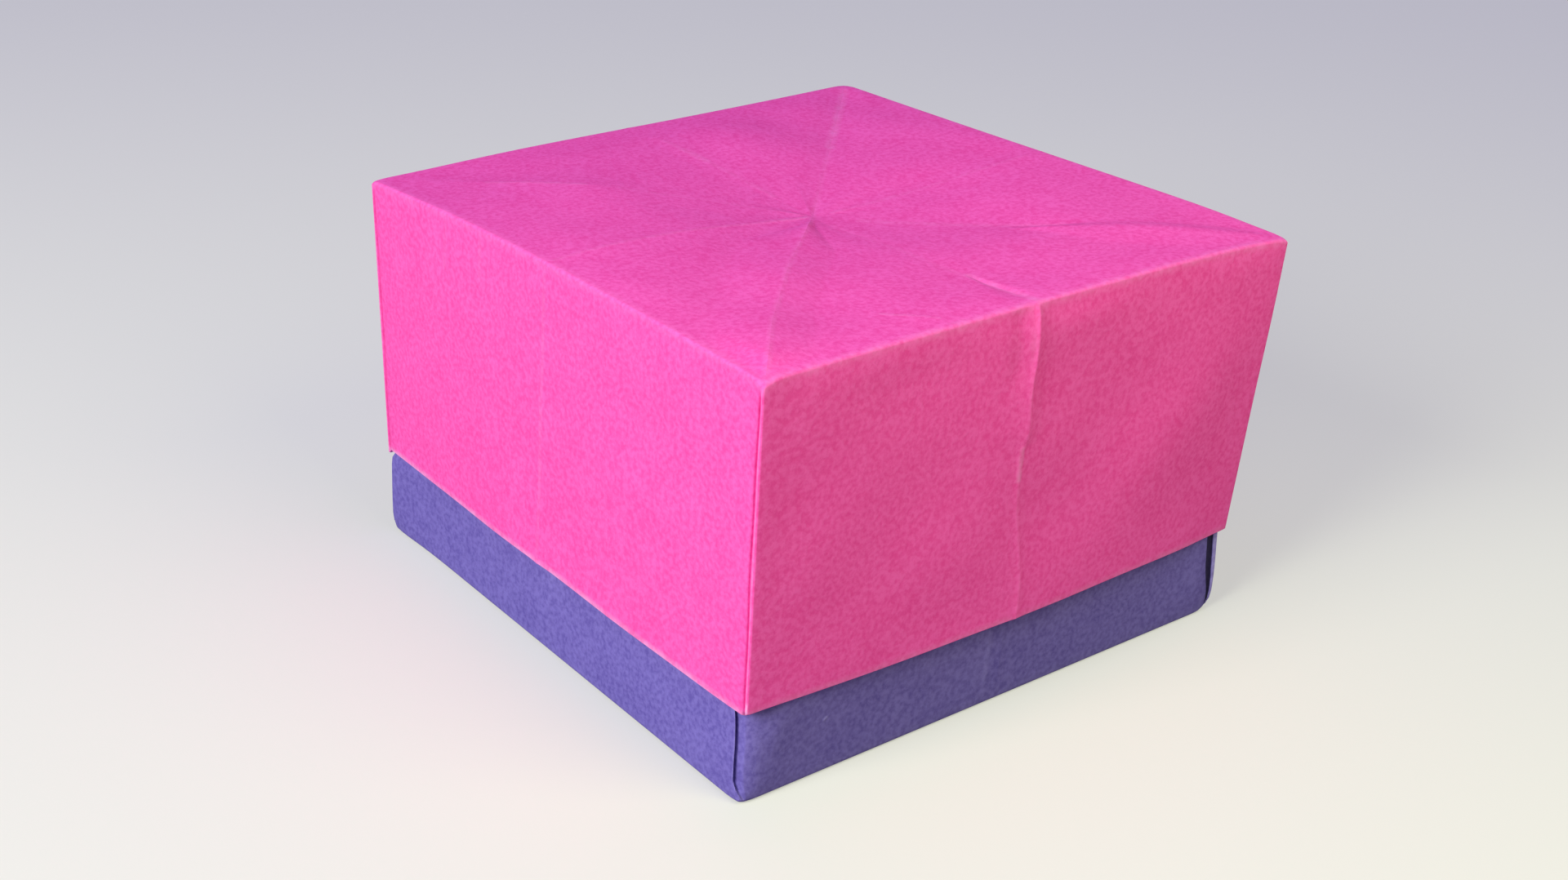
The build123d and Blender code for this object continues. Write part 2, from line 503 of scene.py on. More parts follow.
# How far the lid's front walls bow out towards the hem. Its back walls bow by the sizes above.
FRONT_LEFT_BOW = 0.5
FRONT_RIGHT_BOW = 1.04

# Corner points of the lid's top that are pressed in, as (front, left, back, right), and how far that reaches
POINT_DIPS = (0.4, 0.2, 0.3, 0.25)
POINT_REACH = 2.4

# Wide dips of the lid's top, which the base's rim follows: corner, depth and width
CORNER_DIPS = [(LEFT, 0.5, 15), (RIGHT, 0.38, 8)]

# Rises of the lid's hem: corner, height and width. At the front corner the end wall's hem drops instead.
HEM_RISES = [(FRONT, 0.15, 8), (FRONT, 0.35, 18), (LEFT, 0.15, 10), (RIGHT, -0.25, 14)]
HEM_DROP = 0.95
HEM_DROP_WIDTH = 18

# How much the base's lowest corner points are rounded, as (front, left, back, right)
FOOT_ROUNDING = (0.3, 0.1, 0.8, 0.9)

# How far the base's front corner is cut off, as (height, depth)
CORNER_CUT = [(3.4, 1.05), (6.8, 1.4), (9.5, 1.9), (12.5, 2.7)]

# How far the front right wall's crease and the top's front crease lie off their middles
WALL_CREASE_SHIFT = 1.8
TOP_CREASE_SHIFT = 0.4

# Height of the front right wall's ridge over its whole length, and as much more where it is sharp
FAINT_RIDGE = 0.10
SHARP_RIDGE = 0.30
UNDER_EDGE_LEAN = 0.22  # how far that wall leans in just under the top's edge
TOP_WAVES = (0.12, 8, 19)  # height, seed and wavelength

# How far the base's left corner stands out at its foot along x and y, and how wide that is
BULGE_X = 0.70
BULGE_Y = 0.3
BULGE_WIDTH = 6

CUSHION = 0.14  # swelling of the base's end walls beside their folded edges
CUSHION_PEAK = 1.6  # how far from the edge it is highest
FOOT_REACH = 2.6  # how far the rounding of the base's corner points reaches
RIM_DIP = 0.15  # how much lower the base's rim lies than the plain box's, and its corners lower still
RIM_CORNER_DIP = 0.45
FLAP_LIFT = 0.25  # of the flaps' tips on the floor
SEAM_GAPE = 0.7  # how far the end wall's edge draws back at the base's right corner
STRIP_SHIFT = 0.35
FRONT_GAP = 0.42  # width of the seam at the base's front corner


def blend_corners(u, v, front, left, back, right):
    """Value between four corners of a square."""
    s, t = (u + 1) / 2, (v + 1) / 2
    return front * (1 - s) * (1 - t) + left * (1 - s) * t + back * s * t + right * s * (1 - t)


def corner_distance(x, y, half_x, half_y, corner):
    """Distance in plan from one corner of a box, which is given by the signs of its x and y."""
    side_x, side_y = corner
    return np.hypot(x - side_x * half_x, y - side_y * half_y)


def wall_shares(u, v):
    """1 on the front left, back right, front right or back left wall, and 0 on the opposite one."""
    return (1 - u) / 2, (1 + u) / 2, (1 - v) / 2, (1 + v) / 2


def wall_waves(points, u, v, clear, waves):
    """Shifts along x and y by the waves of the four walls, none at the corners or where clear is 0."""
    x, y, z = points.T
    shifts = []
    for share, along, place, wave in zip(wall_shares(u, v), (y, y, x, x), (v, v, u, u), waves):
        height, seed, wavelength = wave
        calm = height * smooth(0, 0.25, 1 - np.abs(place)) * clear
        shifts.append(share**3 * calm * ripples(along, z, seed, wavelength))
    front_left, back_right, front_right, back_left = shifts
    return back_right - front_left, back_left - front_right


def seam_band(from_side):
    """1 beside the seam next to a corner strip, 0 on the strip and farther along the end wall."""
    return smooth(0.2, 0.4, from_side) * (1 - smooth(1.2, 4.0, from_side))


def bend_lid(points, local, zone):
    """Points of the lid with the bends, creases and dents of the real paper."""
    x, y, z = points.T
    u, v = x / LID_HALF_X, y / LID_HALF_Y
    down = np.clip((LID_TOP - z) / LID_HEIGHT, 0, 1)
    front_left, back_right, front_right, back_left = wall_shares(u, v)

    # The walls' corners lean
    top, hem = LID_LEAN_X
    dx = blend_corners(u, v, *top) * (1 - down) + blend_corners(u, v, *hem) * down
    top, hem = LID_LEAN_Y
    dy = blend_corners(u, v, *top) * (1 - down) + blend_corners(u, v, *hem) * down

    # The walls bow out towards the hem, the back ones creased down their middles
    below_strip = np.clip((down * LID_HEIGHT - FLAT_STRIP) / (LID_HEIGHT - FLAT_STRIP), 0, 1) ** 1.1
    dx -= front_left**3 * FRONT_LEFT_BOW * (1 - v**2) * (1 - 0.35 * v) * below_strip
    dx += back_right**3 * LID_END_BOW * (1 - np.abs(v)) * below_strip
    dy -= front_right**3 * FRONT_RIGHT_BOW * (1 - np.abs(u) ** 1.6) * (1 + 0.15 * u) * below_strip
    dy += back_left**3 * LID_SIDE_BOW * (1 - np.abs(u)) * below_strip

    wave_x, wave_y = wall_waves(points, u, v, smooth(0, 0.12, down), LID_WAVES)
    dx += wave_x
    dy += wave_y

    # The front right wall swells right of its crease and leans in just under the top's edge
    for *oval, height in WALL_SWELLS:
        dy -= front_right**6 * height * swell_form(x, z, *oval)
    under_edge = (1 - smooth(0, 0.11, down)) ** 2
    dy += front_right**6 * UNDER_EDGE_LEAN * under_edge * smooth(0, 0.15, 1 - np.abs(u))

    # Centre creases of the walls: a ridge on the front right wall with a trough right of it, sharp in its
    # upper part, and faint ones on the others
    beside = x - np.interp(z, *zip(*RIDGE_LINE))
    sharp = 1 - smooth(0.36, 0.46, down)
    left_reach = 0.5 + 1.6 * smooth(0.18, 0.3, down) * sharp
    ridge = np.exp(-np.abs(beside) / np.where(beside < 0, left_reach, 0.7))
    ridge -= 0.45 * hump(beside + 2.3, 0.8) * (1 - smooth(0.15, 0.25, down))
    to_right = np.maximum(0, beside)
    trough = (0.03 + 0.14 * sharp) * to_right * np.exp(-to_right / 2.0)
    ridge = (FAINT_RIDGE + SHARP_RIDGE * sharp) * ridge
    dy -= front_right**6 * (ridge - trough) * smooth(0.0, 0.03, down)
    dx -= front_left**6 * 0.07 * np.exp(-np.abs(y) / 0.4) * smooth(0.02, 0.1, down)
    dx += back_right**6 * 0.06 * np.exp(-np.abs(y) / 0.4)
    dy += back_left**6 * 0.10 * np.exp(-np.abs(x) / 0.5)

    # The top: facets, dipped corners and the creases' own edges
    dz = top_relief(x, y) * (1 - down)
    to_corner = np.hypot(LID_HALF_X - np.abs(x), LID_HALF_Y - np.abs(y))
    dip = blend_corners(np.sign(u), np.sign(v), *POINT_DIPS)
    dz -= dip * np.clip(1 - to_corner / POINT_REACH, 0, 1) ** 2 * (1 - smooth(0.0, 0.08, down))
    for corner, depth, width in CORNER_DIPS:
        dz -= depth * hump(corner_distance(x, y, LID_HALF_X, LID_HALF_Y, corner), width) * (1 - down)
    flat = (zone == PANEL) | (zone == FLOOR)
    outward = np.maximum(np.abs(u), np.abs(v))
    level = 1 - smooth(0.9, 0.99, outward)
    for start, end, height, reach_left, reach_right in TOP_CREASES:
        crease = crease_form(x, y, start, end, reach_left, reach_right)
        dz += np.where(flat, height * crease * level, 0)
    for *oval, height in TOP_SWELLS:
        dz += np.where(flat, height * swell_form(x, y, *oval) * level, 0)
    height, seed, wavelength = TOP_WAVES
    dz += np.where(flat, height * ripples(x, y, seed, wavelength) * smooth(0, 0.2, 1 - outward), 0)

    # The hem rises at the left corner and drops at the right one. At the front corner the side wall's rises
    # and the end wall's drops.
    at_hem = down**3
    for corner, height, width in HEM_RISES:
        dz += at_hem * height * hump(corner_distance(x, y, LID_HALF_X, LID_HALF_Y, corner), width)
    from_side = LID_HALF_X - np.abs(local[:, 0])  # the lid is square
    on_end_wall = smooth(0.3, 0.6, from_side)
    from_front = corner_distance(x, y, LID_HALF_X, LID_HALF_Y, FRONT)
    dz -= at_hem * HEM_DROP * on_end_wall * hump(from_front, HEM_DROP_WIDTH)

    # The front right wall's crease lies left of the middle, the front left wall's leans, and the top's front
    # crease lies left of the corner
    dx -= WALL_CREASE_SHIFT * np.maximum(0, -v) * (1 - u**2) ** 2 * (1 - smooth(0.5, 0.95, down))
    dy += (1.9 * down - 0.8) * np.maximum(0, -u) * (1 - v**2) ** 2
    beside_ray = (x - y) / math.sqrt(2)
    along_ray = smooth(0.1, 0.4, -(u + v) / 2) * (1 - smooth(0.7, 0.95, outward))
    sideways = TOP_CREASE_SHIFT * hump(beside_ray, 12) * along_ray * flat
    dx -= sideways
    dy += sideways

    # The seam beside the corner strip isn't quite straight
    on_end = (zone == WALL) & (np.abs(local[:, 1]) > LID_HALF_Y - 0.6)
    drift = 0.07 * np.sin(down * 7 + u * 2) + 0.04 * np.sin(down * 19 + v * 3)
    dy += np.where(on_end, seam_band(from_side) * drift * -np.sign(v), 0)
    return points + np.column_stack([dx, dy, dz])


def bend_base(points, local, zone):
    """Points of the base with the bends, creases and dents of the real paper."""
    x, y, z = points.T
    u, v = x / BASE_HALF_X, y / BASE_HALF_Y
    up = np.clip(z / BASE_HEIGHT, 0, 1)
    front_left, back_right, front_right, back_left = wall_shares(u, v)

    # The base stands a little turned, its foot splayed out from under the lid, most of all at the left corner
    foot = 1 - smooth(3, 14, z)
    throughout, splayed = BASE_SHIFT_X
    dx = blend_corners(u, v, *throughout) + blend_corners(u, v, *splayed) * foot
    throughout, splayed = BASE_SHIFT_Y
    dy = blend_corners(u, v, *throughout) + blend_corners(u, v, *splayed) * foot
    dz = np.zeros(len(x))
    from_left = corner_distance(x, y, BASE_HALF_X, BASE_HALF_Y, LEFT)
    bulge = hump(from_left, BULGE_WIDTH) * (1 - smooth(10.7, 11.5, z))
    bulge = bulge * (0.5 + 0.5 * smooth(0, 2.4, z))
    dx -= BULGE_X * bulge
    dy += BULGE_Y * bulge

    # Bowed walls, with little room inside the lid
    swell = smooth(0.03, 0.5, up)
    dx -= front_left**3 * 0.08 * (1 - np.abs(v)) * swell
    dx += back_right**3 * BASE_BOW * (1 - np.abs(v)) * swell
    dy -= front_right**3 * BASE_BOW * (1 - np.abs(u)) * swell
    dy += back_left**3 * BASE_BOW * (1 - np.abs(u)) * swell
    above_fold = smooth(0.02, 0.1, up)
    wave_x, wave_y = wall_waves(points, u, v, above_fold, BASE_WAVES)
    dx += wave_x
    dy += wave_y

    # Soft swelling of the end walls beside their folded edges
    from_edge = np.maximum(0, BASE_HALF_X - FOLD_REACH - np.abs(x))
    low_down = smooth(0.0, 0.06, up) * (1 - smooth(0.25, 0.6, up))
    from_edge = from_edge / CUSHION_PEAK
    cushion = CUSHION * from_edge * np.exp(1 - from_edge) * low_down
    dy -= front_right**6 * cushion
    dy += back_left**6 * cushion

    # Rounded corners at the bottom and dipped ones at the rim
    to_corner = np.hypot(BASE_HALF_X - np.abs(x), BASE_HALF_Y - np.abs(y))
    near = np.clip(1 - np.hypot(to_corner, z) / FOOT_REACH, 0, 1) ** 2
    near = near * blend_corners(np.sign(u), np.sign(v), *FOOT_ROUNDING)
    dx -= np.sign(u) * 0.55 * near
    dy -= np.sign(v) * 0.55 * near
    dz += 0.5 * near
    at_rim = smooth(0.88, 0.98, up)
    dz -= RIM_CORNER_DIP * np.clip(1 - to_corner / 4, 0, 1) * at_rim
    dz -= RIM_DIP * at_rim
    for corner, depth, width in CORNER_DIPS:
        dz -= depth * hump(corner_distance(x, y, BASE_HALF_X, BASE_HALF_Y, corner), width) * at_rim

    # Creases of the floor, and the centre creases of the walls
    outward = np.maximum(np.abs(u), np.abs(v))
    edge_on = smooth(0.02, 0.1, outward) * (1 - smooth(0.93, 1.0, outward))
    across_diagonal = (np.abs(u) - np.abs(v)) * BASE_HALF_X / math.sqrt(2)
    creases = 0.06 * hump(across_diagonal, 0.3) + 0.04 * hump(np.minimum(np.abs(x), np.abs(y)), 0.3)
    dz += np.where((zone == PANEL) | (zone == FLOOR), creases * edge_on, 0)
    dx += (back_right**6 - front_left**6) * 0.04 * np.exp(-np.abs(y) / 0.5) * above_fold
    dy += (back_left**6 - front_right**6) * 0.07 * np.exp(-np.abs(x) / 0.5) * above_fold

    # The flaps on the floor lift a little towards their tips
    lifted = FLAP_LIFT * (1 - outward) ** 2 * smooth(0.0, 1.2, np.abs(across_diagonal))
    dz += np.where(zone == FLOOR, lifted, 0)

    # The seam beside the corner strip isn't quite straight, and gapes at the right corner
    from_side = BASE_HALF_X - np.abs(local[:, 0])
    near_seam = seam_band(from_side)
    on_end = (zone == WALL) & (np.abs(local[:, 1]) > BASE_HALF_Y - 0.6)
    drift = 0.06 * np.sin(up * 24 + u * 2)
    past_seam = smooth(0.5, 0.7, from_side) * (1 - smooth(2.0, 5.0, from_side))
    low_right = (u > 0) * (v < 0) * smooth(0.5, 7, z) * (1 - smooth(14, 24, z))
    gape = SEAM_GAPE * low_right * past_seam
    strip = STRIP_SHIFT * low_right * near_seam
    dx += np.where(on_end, (near_seam * drift + gape + strip) * -np.sign(u), 0)

    # The end wall's paper cuts the front corner off above its pleat's edge, which climbs from the corner, so
    # that the seam lies on the side wall
    inset_side, inset_end = BASE_HALF_X + local[:, 0], BASE_HALF_Y + local[:, 1]
    walls = (zone == FOLD) | (zone == WALL) | (zone == RIM) | (zone == INNER)
    along = inset_side - inset_end
    cut = np.interp(z, *zip(*CORNER_CUT))
    reach = 2.6 + cut
    chord = np.hypot(cut, reach)
    beyond = along - 0.45
    share = np.clip(beyond / chord, 0, 1)
    side_in = share * reach + np.maximum(0, beyond - chord)
    end_in = cut * (1 - share) ** 1.3 + np.maximum(0, -beyond)
    held = smooth(0, 2.4, z - 0.5 * np.clip(along, 0, 6)) * (1 - smooth(12.5, 32, z))
    held = held * (1 - smooth(7, 13, np.abs(along)))
    held = held * (1 - smooth(13, 14, np.maximum(inset_side, inset_end)))
    gap = FRONT_GAP * smooth(0.42, 0.55, along) * (1 - smooth(1, 4, along))
    dx += np.where(walls, (side_in - np.maximum(0, along) + gap) * held, 0)
    dy += np.where(walls, (end_in - np.maximum(0, -along) - gap) * held, 0)
    return points + np.column_stack([dx, dy, dz])


# How pale rubbing leaves the other folds, and how pale the corner strips are made, which is partly a painted
# highlight on their bends
FOLD_WEAR = 0.15
STRIP_WEAR_AND_HIGHLIGHT = 0.5


def wear_and_painted_light_of(half_side, half_end, height, end_height, fold, front_fold, rim_wear_and_highlight, corner_highlight_and_seam_shade=0.0):
    """How much each point is rubbed pale, with painted highlights and painted shade: along the rims, less
    along the folds and the corner strips, whose paleness is partly a painted highlight.

    The rim strengths are for the rims of the walls at local +x, -x, +y and -y, and the corner strength is
    that of a painted highlight on the strip at the corner between +x and -y. Where that seam gapes, the value
    is below 0 inside it, as painted shade.
    """

    def wear_and_painted_light(local, zone):
        x, y, z = local.T
        from_side, from_end = half_side - np.abs(x), half_end - np.abs(y)
        inset = np.minimum(from_side, from_end)
        outer = (zone == PANEL) | (zone == FOLD) | (zone == WALL)
        along_fold = np.hypot(np.maximum(0, inset - fold), np.maximum(0, z - fold))
        on_front = (half_side - x) < from_end
        strength = np.where(on_front, front_fold, FOLD_WEAR)
        rubbed = np.where(outer, strength * hump(along_fold, 0.35), 0)
        # Rims rubbed pale; a rim strength above the others also paints a highlight along that hem
        at_rim = (zone == WALL) | (zone == RIM) | (zone == INNER)
        on_side = from_side < from_end
        side_rim = np.where(x > 0, rim_wear_and_highlight[0], rim_wear_and_highlight[1])
        end_rim = np.where(y > 0, rim_wear_and_highlight[2], rim_wear_and_highlight[3])
        below_rim = np.maximum(0, np.where(on_side, height, end_height) - 0.35 - z)
        rim = np.where(at_rim, np.where(on_side, side_rim, end_rim) * hump(below_rim, 0.2), 0)
        # Corner strips rubbed pale, partly a painted highlight along their bends
        past_bend = np.maximum(0, from_side - 0.28)
        strip = np.where((zone == WALL) & (from_end < 0.02), STRIP_WEAR_AND_HIGHLIGHT * hump(past_bend, 0.06), 0)
        # At the right corner: a painted highlight on the strip, and painted shade inside the gaping seam
        # beside it
        right_corner = (zone == WALL) & (x > 0) & (y < 0)
        painted_strip_highlight = np.where(right_corner & (from_side < 0.4), corner_highlight_and_seam_shade, 0)
        inside_seam = smooth(0.05, 0.25, from_end)
        painted_seam_shade = np.where(right_corner & (from_side > 0.38), corner_highlight_and_seam_shade * inside_seam, 0)
        return np.clip(rubbed + rim + strip + painted_strip_highlight, 0, 2) - 2 * painted_seam_shade

    return wear_and_painted_light


# Materials


def node(tree, kind, **settings):
    """New node with some of its settings."""
    made = tree.nodes.new(kind)
    for name, value in settings.items():
        setattr(made, name, value)
    return made


def feed(tree, value, socket):
    """Joins the socket to another one, or gives it a value of its own."""
    if isinstance(value, bpy.types.NodeSocket):
        tree.links.new(value, socket)
    else:
        socket.default_value = value


def stored(tree, name):
    """Node that reads what the sheet's points carry under that name."""
    return node(tree, "ShaderNodeAttribute", attribute_name=name, attribute_type="GEOMETRY")


def noise(tree, place, scale, detail, roughness=0.55):
    """Cloudy value round 0.5 over the points of place. scale is in cells for each metre."""
    made = node(tree, "ShaderNodeTexNoise", noise_dimensions="3D")
    made.inputs["Scale"].default_value = scale
    made.inputs["Detail"].default_value = detail
    made.inputs["Roughness"].default_value = roughness
    feed(tree, place, made.inputs["Vector"])
    return made.outputs["Fac"]


def remap(tree, value, low, high, to_low=0.0, to_high=1.0, curve="LINEAR"):
    """Value stretched from one range to another."""
    made = node(tree, "ShaderNodeMapRange", interpolation_type=curve)
    made.inputs["From Min"].default_value = low
    made.inputs["From Max"].default_value = high
    made.inputs["To Min"].default_value = to_low
    made.inputs["To Max"].default_value = to_high
    feed(tree, value, made.inputs["Value"])
    return made.outputs["Result"]


def math_node(tree, operation, first, second):
    """Result of an operation on two values, each a socket or a number."""
    made = node(tree, "ShaderNodeMath", operation=operation)
    feed(tree, first, made.inputs[0])
    feed(tree, second, made.inputs[1])
    return made.outputs["Value"]


def vector_node(tree, operation, first, second, result="Vector"):
    """Result of an operation on two vectors, each a socket or a vector."""
    made = node(tree, "ShaderNodeVectorMath", operation=operation)
    feed(tree, first, made.inputs[0])
    feed(tree, second, made.inputs[1])
    return made.outputs[result]


def weighted(tree, first, second, share):
    """Sum of the share of first and the rest of second."""
    left = math_node(tree, "MULTIPLY", first, share)
    right = math_node(tree, "MULTIPLY", second, 1 - share)
    return math_node(tree, "ADD", left, right)


def largest(tree, values):
    """Largest of several sockets' values."""
    total = values[0]
    for value in values[1:]:
        total = math_node(tree, "MAXIMUM", total, value)
    return total


def mix_colour(tree, factor, first, second):
    """Colour between two, each a socket or a colour."""
    made = node(tree, "ShaderNodeMix", data_type="RGBA")
    feed(tree, factor, made.inputs["Factor"])
    feed(tree, first, made.inputs[6])
    feed(tree, second, made.inputs[7])
    return made.outputs[2]


def linear(*screen):
    """Opaque colour for a shader from 8-bit screen values."""
    shares = [value / 255 for value in screen]
    return (*[c / 12.92 if c <= 0.04045 else ((c + 0.055) / 1.055) ** 2.4 for c in shares], 1)


def crease_lines(tree, laid, keep, lines):
    """Mask of thin creases on one face.

    keep picks the two axes of the face, and each line is (start, end, half width, strength) with points on
    those axes, in the plain box's millimetres.
    """
    flat = vector_node(tree, "MULTIPLY", laid, keep)
    axes = [axis for axis in range(3) if keep[axis]]
    masks = []
    for start, end, half_width, strength in lines:
        first, last = Vector((0, 0, 0)), Vector((0, 0, 0))
        for axis, a, b in zip(axes, start, end):
            first[axis], last[axis] = a, b
        run = last - first
        offset = vector_node(tree, "SUBTRACT", flat, first)
        along = vector_node(tree, "DOT_PRODUCT", offset, run / run.length_squared, "Value")
        share = node(tree, "ShaderNodeClamp")
        feed(tree, along, share.inputs["Value"])
        nearest = node(tree, "ShaderNodeVectorMath", operation="SCALE")
        nearest.inputs[0].default_value = run
        feed(tree, share.outputs["Result"], nearest.inputs["Scale"])
        gap = vector_node(tree, "DISTANCE", offset, nearest.outputs["Vector"], "Value")
        masks.append(remap(tree, gap, half_width, 0.1 * half_width, 0.0, strength, "SMOOTHSTEP"))
    return largest(tree, masks)


def on_face(tree, laid, axis, low, high):
    """1 where that coordinate of the plain box is between low and high."""
    split = node(tree, "ShaderNodeSeparateXYZ")
    feed(tree, laid, split.inputs["Vector"])
    above = math_node(tree, "GREATER_THAN", split.outputs[axis], low)
    below = math_node(tree, "LESS_THAN", split.outputs[axis], high)
    return math_node(tree, "MULTIPLY", above, below)


# The paper's surface: cells of its textures for each metre, and heights in metres
CLOUD_SCALE = 240
PATCH_SCALE = 620
GRAIN_SCALE = 1700
FIBRE_SCALE = 2600
CLOUD_SHARE = 0.2  # of the mottling, the rest being grain
CREASE_RELIEF = 0.00012
GRAIN_RELIEF = 0.00005
# Painted shade: near-black colour put deep inside the base's gaping seam
SEAM_SHADE = (0.004, 0.003, 0.008, 1)  # colour deep inside a gaping seam


def paper_material(name, colour, deep, pale, wear_and_highlight_strength, creases):
    """Coloured craft paper: mottled pulp, short fibres, folds and creases rubbed pale, with painted
    highlights on some folds and strips and painted shade deep in a seam.
    """
    material = bpy.data.materials.new(name)
    material.use_nodes = True
    tree = material.node_tree
    shader = tree.nodes["Principled BSDF"]
    place = node(tree, "ShaderNodeTexCoord").outputs["Object"]
    laid = stored(tree, "laid").outputs["Vector"]
    wear_and_painted_light = stored(tree, "wear_and_painted_light").outputs["Fac"]

    cloudy = remap(tree, noise(tree, place, CLOUD_SCALE, 3), 0.35, 0.65)
    grain = remap(tree, noise(tree, place, GRAIN_SCALE, 2), 0.33, 0.63)
    stretch = node(tree, "ShaderNodeMapping")
    stretch.inputs["Scale"].default_value = (1.0, 0.8, 1.2)
    stretch.inputs["Rotation"].default_value = (0.5, 0.8, 0.3)
    feed(tree, place, stretch.inputs["Vector"])
    fibres = remap(tree, noise(tree, stretch.outputs["Vector"], FIBRE_SCALE, 4, 0.75), 0.3, 0.7)
    pulp = mix_colour(tree, weighted(tree, cloudy, grain, CLOUD_SHARE), deep, colour)

    faces = []
    for axis, low, high, keep, lines in creases:
        here = on_face(tree, laid, axis, low, high)
        faces.append(math_node(tree, "MULTIPLY", crease_lines(tree, laid, keep, lines), here))
    creased = largest(tree, faces)
    # Paleness of rubbed folds and creases, with the painted highlights that the sheet carries
    worn_and_highlit = math_node(tree, "MULTIPLY", wear_and_painted_light, wear_and_highlight_strength)
    patchy = remap(tree, noise(tree, place, PATCH_SCALE, 5, 0.72), 0.38, 0.62, 0.3, 1.0)
    worn_and_highlit = math_node(tree, "MULTIPLY", math_node(tree, "MAXIMUM", worn_and_highlit, creased), patchy)
    rubbed = mix_colour(tree, worn_and_highlit, pulp, pale)
    # Painted shade: near-black colour deep inside a gaping seam, where the sheet carries values below 0
    inside = remap(tree, wear_and_painted_light, 0.0, -1.0, 0.0, 0.85)
    feed(tree, mix_colour(tree, inside, rubbed, SEAM_SHADE), shader.inputs["Base Color"])

    fold_bump = node(tree, "ShaderNodeBump")
    fold_bump.inputs["Strength"].default_value = 0.6
    fold_bump.inputs["Distance"].default_value = CREASE_RELIEF
    feed(tree, creased, fold_bump.inputs["Height"])
    bump = node(tree, "ShaderNodeBump")
    bump.inputs["Strength"].default_value = 0.5
    bump.inputs["Distance"].default_value = GRAIN_RELIEF
    feed(tree, weighted(tree, grain, fibres, 0.5), bump.inputs["Height"])
    feed(tree, fold_bump.outputs["Normal"], bump.inputs["Normal"])
    feed(tree, bump.outputs["Normal"], shader.inputs["Normal"])
    shader.inputs["Roughness"].default_value = 0.85
    shader.inputs["Specular IOR Level"].default_value = 0.15
    return material


# Thin creases rubbed pale, face by face: the axis and range that pick the face, the two axes kept, and the
# lines as (start, end, half width, strength)
LID_CREASES = [
    ("Z", 47.0, 50.0, (1, 1, 0), [
        ((0, 0), (-36.6, -36.6), 0.6, 0.13),
        ((0, 0), (36.6, 36.6), 0.6, 0.09),
        ((17.5, 17.5), (35, 35), 1.0, 0.24),
        ((0, 0), (-16, 16), 0.5, 0.08),
        ((-19, 19), (-27, 27), 0.8, 0.16),
        ((4, -4), (20, -20), 0.9, 0.12),
        ((-1, 0), (-8, 0), 0.6, 0.28),
        ((-8, 0), (-36, 0), 0.6, 0.14),
        ((0, 7), (0, 29), 0.7, 0.10),
        ((0, 20), (0, 25), 0.9, 0.20),
        ((3, 0), (34, 0), 0.6, 0.09),
        ((0, -3), (0, -27), 0.7, 0.07),
        ((0.4, -26), (0.2, -36.6), 0.9, 0.28),
        ((-15.5, -30.2), (-11.8, -34.5), 0.5, 0.2),
    ]),
    ("Y", -40.0, -36.3, (1, 0, 1), [
        ((-0.6, 48.0), (-0.3, 42.6), 0.9, 0.14),
        ((-0.2, 42.6), (0.1, 34.0), 0.6, 0.10),
        ((-0.4, 32.3), (-0.25, 28.7), 0.6, 0.42),
        ((-0.2, 28.7), (0.0, 11.5), 0.4, 0.12),
    ]),
    ("X", -40.0, -36.3, (0, 1, 1), [
        ((0, 48), (0, 12), 0.5, 0.13),
        ((20.0, 47.5), (20.4, 41.8), 0.5, 0.10),
        ((12.8, 47.6), (13.0, 42.5), 0.5, 0.10),
    ]),
]
BASE_CREASES = [
    ("Y", -40.0, -35.9, (1, 0, 1), [
        ((-2.0, 2.0), (-2.0, 9.5), 0.6, 0.22),
        ((-25.1, 6.9), (-25.0, 7.0), 0.38, 1.0),
    ]),
    ("X", -40.0, -35.4, (0, 1, 1), [
        ((0, 2.0), (0, 11.0), 0.5, 0.12),
    ]),
    ("Z", -1.0, 0.3, (1, 1, 0), [
        ((-35, -35), (35, 35), 0.4, 0.4),
        ((-35, 35), (35, -35), 0.4, 0.4),
        ((-35, 0), (35, 0), 0.4, 0.3),
        ((0, -35), (0, 35), 0.4, 0.3),
    ]),
]


# Studio and camera

SKY_STRENGTH = 0.84
KEY_POWER = 3.29
FILL_POWER = 0.322
FLOOR_GLOW = 0.5  # how much the floor's own pale colour shows beside its lit one
FLOOR_REACH = 6.0  # metres
FLOOR_BOUNCE = linear(160, 155, 158)  # colour that the floor throws back on the object
FLOOR_SEEN = linear(246, 244, 243)
FLOOR_PALE = linear(226, 225, 222)
SKY_SIDES = (0.008, 0.008, 0.008, 1)
SKY_TOP = (0.25, 0.205, 1.0, 1)
BACKDROP = (0.58, 0.57, 0.66, 1)


def area_lamp(name, toward, distance, size, power, colour):
    """Round lamp in that direction from the middle of the box, facing it."""
    data = bpy.data.lights.new(name, "AREA")
    data.shape = "DISK"
    data.size = size
    data.energy = power
    data.color = colour
    lamp = bpy.data.objects.new(name, data)
    centre = Vector((0, 0, 0.024))
    direction = Vector(toward).normalized()
    lamp.location = centre + direction * distance
    lamp.rotation_euler = direction.to_track_quat("Z", "Y").to_euler()
    bpy.context.scene.collection.objects.link(lamp)


def seen_directly(tree):
    """1 for what the camera sees, also reflected or through clear things, and 0 for light's own bounces."""
    rays = node(tree, "ShaderNodeLightPath")
    seen = math_node(tree, "MAXIMUM", rays.outputs["Is Camera Ray"], rays.outputs["Is Glossy Ray"])
    return math_node(tree, "MAXIMUM", seen, rays.outputs["Is Transmission Ray"])


